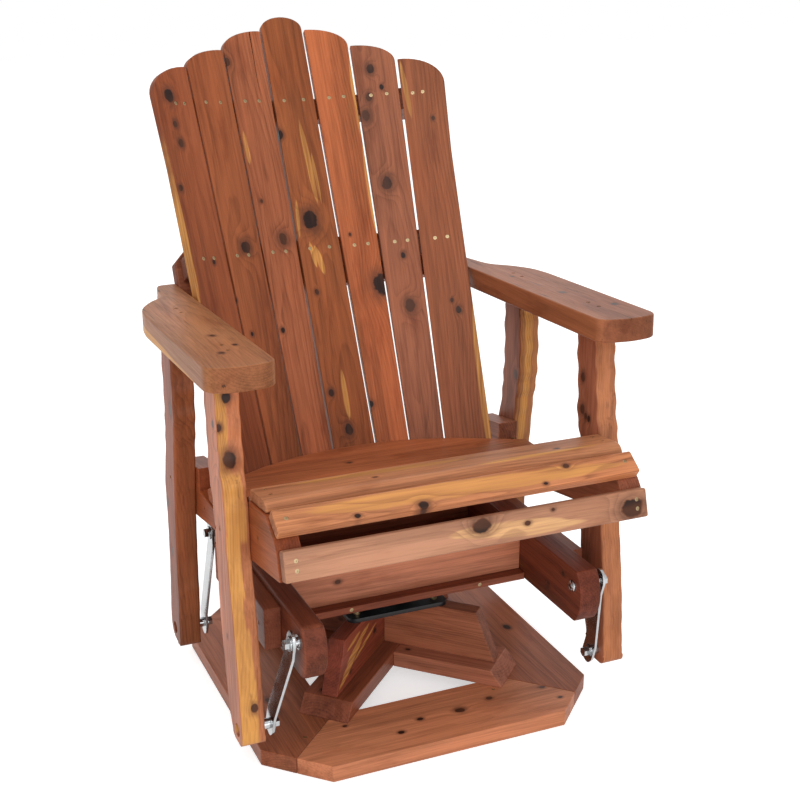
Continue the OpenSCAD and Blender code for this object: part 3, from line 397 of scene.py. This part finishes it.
def cedar_material(name, place, colour, seed, pith, knots, contrast=1.75, checks=0.4, sap=PALE_SAP):
    """The wood of one board, with the marks that the tables below give it."""
    origin, length, width = place
    material, net = new_material("cedar_" + name, colour)
    p, normal = board_space(net, origin, length, width)
    if name in FACE_KNOTS or name in FACE_BANDS:
        px, py, pz = net.parts(p)
        edge_on = net.vector(px, pz, py)
        on_edge = net.smooth(net.math("ABSOLUTE", net.dot(normal, tuple(width))), *FACING)

    def knot(where, x, y, radius, flow, core, halo):
        out = net.use(knot_tree, {"P": where, "X": x, "Y": y, "R": radius, "Flow": flow, "Core": core,
                                  "Halo": halo})
        return out["Flow"], out["Core"], out["Halo"]

    def band(where, x, y, slope, half_length, half_width, taper, mask):
        return net.use(band_tree, {"P": where, "X": x, "Y": y, "Slope": slope, "Length": half_length,
                                   "Width": half_width, "Taper": taper, "Mask": mask})["Mask"]

    def facing(direction, amount=1.0):
        return net.smooth(net.dot(normal, direction), *FACING, 0.0, amount)

    flow, core, halo, mask = 0.0, 0.0, 0.0, 0.0
    for kx, ky, radius in knots:
        flow, core, halo = knot(p, kx, ky, radius, flow, core, halo)
    for kx, kz, radius in FACE_KNOTS.get(name, ()):
        flow, new_core, new_halo = knot(edge_on, kx, kz, radius, flow, 0.0, 0.0)
        core = net.math("MAXIMUM", core, net.mul(new_core, on_edge))
        halo = net.math("MAXIMUM", halo, net.mul(new_halo, on_edge))
    for bx, by, slope, half_length, half_width in BANDS.get(name, ()):
        mask = band(p, bx, by, slope, half_length, half_width, BAND_TAPER, mask)
    for direction, amount in EDGES.get(name, ()):
        mask = net.math("MAXIMUM", mask, facing(direction, amount))
    for direction, bx, bz, half_length, half_width in FACE_BANDS.get(name, ()):
        new_mask = band(edge_on, bx, bz, 0.0, half_length, half_width, 0.0, 0.0)
        mask = net.math("MAXIMUM", mask, net.mul(new_mask, facing(direction)))
    end = net.smooth(net.math("ABSOLUTE", net.dot(normal, tuple(length))), 0.6, 0.9)
    mask = net.mul(mask, net.subtract(1.0, end))

    out = net.use(cedar_tree, {
        "P": p, "Seed": float(seed), "Light": shade(colour, 1.42), "Deep": shade(colour, 0.5, 1.06),
        "Sap": linear(*sap), "Pith Y": pith[0], "Pith Z": pith[1], "Flow": flow, "Core": core,
        "Halo": halo, "Mask": mask, "End": end, "Contrast": contrast, "Checks": checks})
    net.surface(out["Color"], out["Roughness"], out["Height"], 0.45, 0.0006, Specular_IOR_Level=0.16,
                Coat_Weight=0.02, Coat_Roughness=0.28)
    return material


def metal_material(name, colour, metallic, rough, spread, scratches, wear=None):
    """Metal or paint: cloudy, finely scratched, and with worn spots if wear gives their colour."""
    material, net = new_material(name, colour)
    texture = net.new("ShaderNodeTexCoord").outputs["Object"]
    x, y, z = net.parts(texture)
    cloud = net.noise(texture, 38, 3, 0.6)
    grain = net.noise(net.vector(net.mul(x, 900), net.mul(y, 700), net.mul(z, 90)), 1, 2)
    fine = net.noise(texture, 900, 2)
    base = net.mix(net.smooth(cloud, 0.3, 0.7), shade(colour, 0.86), shade(colour, 1.08))
    if wear:
        spots = net.smooth(net.noise(texture, 120, 4, 0.7), 0.62, 0.74)
        base = net.mix(net.mul(spots, 0.6), base, wear)
    unevenness = net.subtract(net.add(cloud, net.mul(grain, 0.5)), 0.75)
    roughness = net.math("MAXIMUM", net.add(rough, net.mul(unevenness, spread)), 0.08)
    height = net.add(net.mul(grain, 0.6), net.mul(fine, 0.5))
    net.surface(base, roughness, height, scratches, 0.0002, Metallic=metallic)
    return material


# Finished copies of the CAD nodes

FLAT = 0.6                    # edges with a smaller angle are taken out
SHORTEST_EDGE = 0.002         # of those that are rounded
BOX_SLACK = 2e-4              # how far a rounded copy may leave the node's box
SKIN_SLACK = 2.5e-4           # how far it may leave the node's surface
LEAST_VOLUME, MOST_VOLUME = 0.9, 1.001   # of the node's volume
HEAD_AREA = (2.5e-5, 7e-5)    # of a screw head's flat face, in square metres
HEAD_CORNERS = 30             # fewer than such a face has
RECESS_RADIUS, RECESS_WAVE, RECESS_DEPTH = 0.0016, 0.00034, 0.0012
RECESS_INSET = 0.0014
STAR_POINTS = 6

bodies = {member: body for body, members in frame["record"]["behaviour"]["bodies"].items()
          for member in members}


def clean_copy(name, merge):
    """A copy of a CAD node's mesh, and the same as an open mesh without the edges of its flat faces."""
    mesh = nodes[name].data.copy()
    bm = bmesh.new()
    bm.from_mesh(mesh)
    bmesh.ops.remove_doubles(bm, verts=bm.verts, dist=merge)
    bmesh.ops.dissolve_limit(bm, angle_limit=math.radians(FLAT), verts=bm.verts, edges=bm.edges)
    return mesh, bm


def stand_in(name, mesh, bm, sharp):
    """Puts the finished mesh into the scene, where it stands for the node."""
    for face in bm.faces:
        face.smooth = True
    bm.to_mesh(mesh)
    bm.free()
    mesh.set_sharp_from_angle(angle=math.radians(sharp))
    mesh.materials.clear()
    piece = show(name + "_finished", mesh)
    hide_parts(name)
    return piece


def settle(piece, name, material):
    piece.data.materials.append(material)
    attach(piece, bodies[name])


def rounded(name, offset, segments=3, turn=25):
    """A copy of a CAD node, its outer edges rounded as far as that stays inside its shape."""
    mesh, bm = clean_copy(name, 1e-5)
    volume = bm.calc_volume()
    untouched = bm.copy()
    skin = BVHTree.FromBMesh(untouched)
    low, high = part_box(name)

    def stays_inside(v):
        near, normal, _, _ = skin.find_nearest(v.co)
        return (v.co - near).dot(normal) <= SKIN_SLACK and all(
            low[k] - BOX_SLACK <= v.co[k] <= high[k] + BOX_SLACK for k in range(3))

    for width in (offset, offset * 0.7, offset / 2, offset / 3, offset / 5):
        edges = [e for e in bm.edges if len(e.link_faces) == 2 and e.is_convex
                 and e.calc_length() > SHORTEST_EDGE and e.calc_face_angle(0) > math.radians(turn)]
        if edges:
            bmesh.ops.bevel(bm, geom=edges, offset=width, offset_type="OFFSET", segments=segments,
                            profile=0.5, affect="EDGES", clamp_overlap=False, loop_slide=True)
        if (LEAST_VOLUME * volume < bm.calc_volume() <= MOST_VOLUME * volume
                and all(stays_inside(v) for v in bm.verts)):
            break
        bm.free()
        bm = untouched.copy()
    untouched.free()
    piece = stand_in(name, mesh, bm, 38)
    weighted = piece.modifiers.new("normals", "WEIGHTED_NORMAL")
    weighted.keep_sharp = True
    return piece


def screws(name):
    """The node's screws with a star recess in every head."""
    mesh, bm = clean_copy(name, 1e-6)
    heads = [f for f in bm.faces
             if len(f.verts) > HEAD_CORNERS and HEAD_AREA[0] < f.calc_area() < HEAD_AREA[1]]
    for face in heads:
        middle = face.calc_center_median()
        normal = face.normal.copy()
        first = (face.verts[0].co - middle).normalized()
        other = normal.cross(first)
        bmesh.ops.inset_individual(bm, faces=[face], thickness=RECESS_INSET, depth=0.0,
                                   use_even_offset=True)
        for v in face.verts:
            out = v.co - middle
            a = math.atan2(out.dot(other), out.dot(first))
            radius = RECESS_RADIUS + RECESS_WAVE * math.cos(STAR_POINTS * a)
            v.co = middle + (first * math.cos(a) + other * math.sin(a)) * radius
        bottom = bmesh.ops.extrude_discrete_faces(bm, faces=[face])["faces"][0]
        for v in bottom.verts:
            v.co -= normal * RECESS_DEPTH
    return stand_in(name, mesh, bm, 35)


# Places of the boards: a middle, a direction along the board and one across it

def slat_place(n):
    """The place of a back slat, counted outwards from the centre slat, negative to the left."""
    k = abs(n)

    def pitch(s):
        return SLAT_PITCH + SLAT_SPREAD * (s - SLAT_LOW) / (SLAT_HIGH - SLAT_LOW)

    def gap(j, s):
        return FIRST_GAP + pitch(s) * (j - 1)

    def middle(s):
        return (gap(k, s) + (HALF_GAP if k == 1 else 0) + gap(k + 1, s)) / 2 if k else 0.0

    def gap_forward(j):
        if j < 2:
            return 0.0
        return gap_forward(j - 1) + pitch(0) * math.tan(math.radians(SLAT_TURN * (j - 1)))

    turn = math.radians(SLAT_TURN * k)
    forward = gap_forward(k) + pitch(0) / 2 * math.tan(turn) if k else 0.0
    slope = (middle(SLAT_HIGH) - middle(SLAT_LOW)) / (SLAT_HIGH - SLAT_LOW)
    local = Matrix.Translation((middle(0), 0, forward)) @ Matrix.Rotation(-turn, 4, "Y") \
        @ Matrix.Rotation(-math.atan(slope / math.cos(turn)), 4, "Z")
    slat = Matrix.Translation(BACK_MIDDLE) @ Matrix.Rotation(math.radians(90 - RECLINE), 4, "X") @ local
    origin, length, width = Vector(slat.translation), Vector(slat.col[1].xyz), Vector(slat.col[0].xyz)
    if n < 0:
        for v in (origin, length, width):
            v.x = -v.x
    return origin, length, width


def slope_place(y, z, tilt, width):
    """The place of a seat slat with its front edge at y and z."""
    return at(0, y, z) + rise(tilt) * width / 2, X, rise(tilt)


def back_place(s):
    """The place of a rail behind the back slats."""
    return BACK_MIDDLE + lean(RECLINE) * s, X, lean(RECLINE)


DIAGONAL, OTHER_DIAGONAL = unit((1, 1, 0)), unit((1, -1, 0))
POST = unit((0, 0.1, 1))
SUPPORT, SUPPORT_UP = rise(-SUPPORT_FALL), lean(SUPPORT_FALL)
HUB = at(0, 0.013, 0.1)
LOW_HUB = HUB - Z * 0.057

# name: (place, colour on a screen, rounding in mm, settings)
BOARDS = {
    "ring_board_front": ((at(0, -0.228, 0.014), X, Y), (176, 113, 80), 1.6, {}),
    "ring_board_right": ((at(0.228, 0, 0.014), Y, X), (138, 78, 50), 1.6, {}),
    "ring_board_rear": ((at(0, 0.228, 0.014), X, Y), (150, 90, 62), 1.6, {}),
    "ring_board_left": ((at(-0.228, 0, 0.014), Y, X), (146, 86, 58), 1.6, {}),
    "lower_cross_long_board": ((LOW_HUB, DIAGONAL, OTHER_DIAGONAL), (128, 72, 50), 1.6, {}),
    "lower_cross_front_leg": ((LOW_HUB, OTHER_DIAGONAL, DIAGONAL), (150, 93, 70), 1.6, {}),
    "lower_cross_rear_leg": ((LOW_HUB, OTHER_DIAGONAL, DIAGONAL), (126, 72, 50), 1.6, {}),
    "upper_cross_long_board": ((HUB, DIAGONAL, Z), (133, 65, 47), 1.6, {}),
    "upper_cross_front_leg": ((HUB, OTHER_DIAGONAL, Z), (143, 88, 64), 1.6, {}),
    "upper_cross_rear_leg": ((HUB, OTHER_DIAGONAL, Z), (120, 68, 50), 1.6, {}),
    "mounting_board": ((at(0, 0.013, 0.197), X, Y), (122, 66, 46), 1.2, {}),
    "front_cross_board": ((at(0, -0.09, 0.242), X, Z), (176, 112, 84), 1.6, {}),
    "rear_cross_board": ((at(0, 0.116, 0.242), X, Z), (126, 74, 54), 1.6, {}),
    "left_rail": ((at(-0.237, -0.067, 0.2375), Y, Z), (112, 60, 42), 6, {"contrast": 2.0}),
    "right_rail": ((at(0.237, -0.067, 0.2375), Y, Z), (114, 56, 38), 6, {"contrast": 2.0}),
    "left_rail_cheek": ((at(-0.27, -0.067, 0.2375), Y, Z), (128, 72, 50), 2, {}),
    "right_rail_cheek": ((at(0.27, -0.067, 0.2375), Y, Z), (124, 70, 48), 2, {}),
    "left_front_post": ((at(-0.323, -0.19, 0.35), POST, Y), (172, 104, 72), 6, {}),
    "right_front_post": ((at(0.323, -0.19, 0.35), POST, Y), (154, 94, 68), 6, {}),
    "left_rear_post": ((at(-0.323, 0.12, 0.35), Z, Y), (126, 66, 42), 6, {}),
    "right_rear_post": ((at(0.323, 0.12, 0.35), Z, Y), (144, 86, 60), 6, {}),
    "left_arm": ((at(-0.32, 0, 0.66), Y, X), (155, 102, 66), 8.5, {"contrast": 1.35, "checks": 1.0}),
    "right_arm": ((at(0.32, 0, 0.66), Y, X), (138, 83, 54), 8.5, {"contrast": 1.35, "checks": 1.0}),
    "left_seat_support": ((at(-0.285, -0.1, 0.39), SUPPORT, SUPPORT_UP), (142, 74, 42), 2, {}),
    "right_seat_support": ((at(0.285, -0.1, 0.39), SUPPORT, SUPPORT_UP), (146, 88, 62), 2, {}),
    "front_seat_slat": (slope_place(-0.28195, 0.48868, -6.8, 0.0775), (174, 116, 80), 4, {}),
    "nose_slat": (slope_place(-0.33708, 0.46252, 34.2, 0.04), (186, 122, 82), 3.5,
                  {"sap": (214, 150, 84)}),
    "apron_slat": (slope_place(-0.36743, 0.39606, 73.6, 0.0458), (162, 116, 90), 3.5,
                   {"contrast": 1.5, "sap": (222, 172, 120)}),
    "front_middle_seat_slat": (slope_place(-0.2, 0.466, -28.9, 0.089), (160, 102, 72), 3, {}),
    "rear_middle_seat_slat": (slope_place(-0.117, 0.42, -19.05, 0.089), (156, 98, 68), 3, {}),
    "rear_seat_board": ((at(0, 0.06, 0.386), X, Y), (161, 93, 59), 3, {}),
    "lower_back_rail": ((at(0, 0.1, 0.35), X, Y), (130, 76, 54), 2, {}),
    "middle_back_rail": (back_place(-0.014), (130, 76, 54), 2, {}),
    "back_brace": (back_place(-0.02), (138, 80, 56), 2.5, {}),
    "upper_back_rail": (back_place(0.267), (132, 76, 54), 2, {}),
}
SLAT_COLOURS = [(133, 71, 42), (136, 75, 44), (157, 91, 60), (134, 74, 41), (169, 93, 55),
                (143, 86, 60), (137, 78, 48)]
for index, slat_colour in enumerate(SLAT_COLOURS):
    BOARDS["back_slat_%d" % (index + 1)] = (slat_place(index - 3), slat_colour, 2.2, {})

# Marks of the boards, measured from the middles above.
# Knots on a board's broad faces, as (along, across, radius)
KNOTS = {
    "back_slat_1": [(0.2804, 0.0112, 0.010), (0.1955, 0.0077, 0.006), (0.1146, 0.0296, 0.0048),
                    (-0.0191, -0.0067, 0.0034)],
    "back_slat_2": [(0.0085, -0.0051, 0.0102), (-0.0855, 0.0376, 0.0034)],
    "back_slat_3": [(0.3559, 0.0371, 0.006), (0.0209, -0.0094, 0.0093), (-0.1453, 0.0236, 0.0043)],
    "back_slat_4": [(0.2574, -0.049, 0.0071), (0.2167, -0.0387, 0.0071), (0.0529, -0.0097, 0.0153),
                    (-0.0817, -0.0204, 0.0043), (-0.3396, -0.0055, 0.0085)],
    "back_slat_5": [(-0.0813, 0.0267, 0.0163), (-0.2988, -0.0293, 0.0051)],
    "back_slat_6": [(0.3275, -0.0089, 0.0076), (0.2738, -0.0181, 0.0065), (0.2379, -0.0287, 0.0085),
                    (0.106, -0.0072, 0.0105), (-0.0332, 0.0036, 0.0048), (-0.128, 0.0035, 0.0102)],
    "back_slat_7": [(0.215, 0.0126, 0.0037), (-0.1319, 0.0091, 0.0034)],
    "apron_slat": [(0.0112, 0.0094, 0.0119), (0.2735, -0.0051, 0.0153)],
    "nose_slat": [(-0.0727, -0.0151, 0.0068)],
    "ring_board_front": [(0.0461, 0.0011, 0.007), (0.1081, 0.0157, 0.0051), (0.2087, 0.0116, 0.0043),
                         (-0.027, 0.0023, 0.0043), (-0.1491, 0.0316, 0.0034), (0.2211, -0.0291, 0.0034)],
    "ring_board_left": [(-0.2542, -0.04, 0.0051), (-0.0702, -0.0123, 0.0051)],
    "ring_board_right": [(-0.0018, 0.025, 0.0068)],
    "left_rear_post": [(0.1635, -0.0275, 0.008)],
    "right_front_post": [(0.213, 0.045, 0.007), (0.157, 0.042, 0.007)],
    "right_rear_post": [(0.144, -0.03, 0.007)],
}
# Knots on a board's narrow faces, as (along, through, radius)
FACE_KNOTS = {
    "left_front_post": [(0.2698, 0.0013, 0.007), (0.1743, 0.0034, 0.011), (0.2247, 0.016, 0.005),
                        (-0.22, -0.004, 0.006)],
}
# Sapwood, as (along, across, slope, half length, half width)
BANDS = {
    "back_slat_1": [(0.06, 0.0468, 0.0, 0.2, 0.009)],
    "back_slat_3": [(0.1943, 0.0295, 0.0174, 0.0329, 0.0051)],
    "back_slat_4": [(0.1614, 0.0068, -0.0512, 0.0821, 0.006), (0.13, 0.0168, -0.03, 0.05, 0.003),
                    (-0.0221, -0.0048, -0.1792, 0.0297, 0.0068), (-0.012, -0.015, -0.12, 0.026, 0.004),
                    (-0.2748, -0.0004, 0.005, 0.0479, 0.006), (0.0549, -0.0326, 0.0754, 0.0375, 0.0034)],
    "back_slat_5": [(0.2858, 0.0385, 0.027, 0.0908, 0.0068), (0.1016, 0.0348, 0.0124, 0.0934, 0.0043)],
    "back_slat_7": [(0.2749, -0.0318, -0.0827, 0.0589, 0.0051), (-0.28, 0.047, 0.0, 0.16, 0.008)],
    "nose_slat": [(0.0028, 0.0022, -0.0139, 0.2778, 0.0153)],
    "apron_slat": [(0.07, -0.004, -0.06, 0.12, 0.013)],
    "front_seat_slat": [(-0.1, 0.02, -0.03, 0.16, 0.01), (0.16, -0.022, 0.02, 0.12, 0.006)],
    "upper_cross_long_board": [(-0.13, 0.012, 0.3, 0.05, 0.007), (-0.155, -0.004, 0.35, 0.045, 0.006),
                               (-0.18, -0.02, 0.4, 0.035, 0.006), (-0.1, 0.0, 0.25, 0.05, 0.004),
                               (-0.15, 0.026, 0.2, 0.03, 0.004)],
}
# Sapwood on a narrow face, as (direction of the face, along, through, half length, half width)
FRONT, OUTER = (0, -1, 0), (-1, 0, 0)
FACE_BANDS = {
    "left_front_post": [(FRONT, 0.22, 0.011, 0.08, 0.009), (FRONT, 0.1, 0.002, 0.06, 0.017),
                        (FRONT, 0.01, 0.0075, 0.055, 0.0125), (FRONT, -0.065, 0.0095, 0.05, 0.0105),
                        (FRONT, -0.14, 0.0065, 0.05, 0.0135), (FRONT, -0.23, 0.0045, 0.06, 0.0155)],
    "right_rear_post": [(FRONT, 0.14, 0.002, 0.2, 0.0085)],
    "left_arm": [(OUTER, -0.05, 0.0135, 0.21, 0.0065)],
}
# A whole face paler than the rest, as (direction of the face, how much)
EDGES = {
    "left_front_post": [(FRONT, 0.12)],
    "right_front_post": [(FRONT, 0.2)],
    "right_rear_post": [(FRONT, 0.35)],
    "left_rear_post": [(FRONT, 0.08)],
}


def half_extent(extent, axis):
    return extent.dot(Vector([abs(c) for c in axis])) / 2


dice = random.Random(7)
for order, (name, (place, colour, rounding, settings)) in enumerate(BOARDS.items()):
    low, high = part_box(name)
    extent = Vector(high) - Vector(low)
    reach = max(half_extent(extent, place[1]), 0.1)
    breadth = min(max(half_extent(extent, place[2]), 0.01), 0.045)
    knots = list(KNOTS.get(name, ()))
    for _ in range(dice.choice((1, 2, 3)) if len(knots) < 3 else 1):
        knots.append((dice.uniform(-0.8, 0.8) * reach, dice.uniform(-0.7, 0.7) * breadth,
                      dice.uniform(0.0025, 0.0055)))
    piece = rounded(name, rounding / 1000)
    pith = (dice.uniform(-0.03, 0.03), dice.choice((-1, 1)) * dice.uniform(0.03, 0.11))
    material = cedar_material(name, place, linear(*colour), order * 1.37 + 2.1, pith, knots, **settings)
    settle(piece, name, material)

# Metal pieces

zinc = metal_material("zinc", (0.46, 0.47, 0.48, 1), metallic=1.0, rough=0.2, spread=0.28,
                      scratches=0.3)
brass = metal_material("brass_screws", (0.40, 0.30, 0.17, 1), metallic=1.0, rough=0.4, spread=0.2,
                       scratches=0.2)
black = metal_material("black_paint", (0.013, 0.013, 0.015, 1), metallic=0.0, rough=0.34, spread=0.2,
                       scratches=0.35, wear=(0.05, 0.05, 0.055, 1))

for name in ("left_front_link", "right_front_link", "left_rear_link", "right_rear_link"):
    settle(rounded(name, 0.0007, 2, turn=40), name, zinc)
for name in ("swivel_lower_plate", "swivel_upper_plate"):
    settle(rounded(name, 0.0008, 2, turn=40), name, black)
for name in ("front_link_bushings", "rear_link_bushings", "swivel_bearing_balls", "swivel_centre_pin",
             "upper_pivot_bolts", "upper_pivot_nuts_and_spacers", "seat_bolts",
             "lower_pivot_nuts_and_spacers"):
    for material_slot in nodes[name].material_slots:
        material_slot.link = "OBJECT"
        material_slot.material = zinc
for name in ("base_screws", "carriage_screws", "seat_screws", "back_screws"):
    settle(screws(name), name, brass)

# Floor, light and background

bm = bmesh.new()
bmesh.ops.create_grid(bm, x_segments=4, y_segments=4, size=12)
floor_mesh = bpy.data.meshes.new("floor")
bm.to_mesh(floor_mesh)
bm.free()
floor = show("floor", floor_mesh)
floor.location = (0, 0, -0.0006)
floor_material, net = new_material("floor")
diffuse = net.new("ShaderNodeBsdfDiffuse")
diffuse.inputs[0].default_value = (0.82, 0.82, 0.82, 1)
glow = net.new("ShaderNodeEmission")
net.put(glow.inputs["Strength"], net.mul(net.seen(), 0.56))
both = net.new("ShaderNodeAddShader")
net.put(both.inputs[0], diffuse.outputs[0])
net.put(both.inputs[1], glow.outputs[0])
net.put(net.new("ShaderNodeOutputMaterial").inputs[0], both.outputs[0])
floor_mesh.materials.append(floor_material)

world = bpy.data.worlds.new("studio")
bpy.context.scene.world = world
world.use_nodes = True
world.node_tree.nodes.clear()
net = Net(world.node_tree)
background = net.new("ShaderNodeBackground")
background.inputs["Color"].default_value = (1, 1, 1, 1)
net.put(background.inputs["Strength"], net.smooth(net.seen(), 0.0, 1.0, 0.8, 1.0))
net.put(net.new("ShaderNodeOutputWorld").inputs[0], background.outputs[0])


def lamp(name, place, target, size, energy):
    data = bpy.data.lights.new(name, "AREA")
    data.shape = "RECTANGLE"
    data.size, data.size_y = size
    data.energy = energy
    item = show(name, data)
    item.location = place
    item.rotation_euler = (Vector(target) - Vector(place)).to_track_quat("-Z", "Y").to_euler()


lamp("key", (-1.4, -2.6, 3.4), (0, 0, 0.5), (2.2, 2.2), 38)
lamp("front", (-0.5, -3.4, 0.9), (0, 0, 0.3), (2.6, 1.4), 30)
lamp("back", (1.2, 2.8, 2.8), (0, 0, 0.5), (2.0, 2.0), 14)

scene = bpy.context.scene
scene.view_settings.view_transform = "Standard"
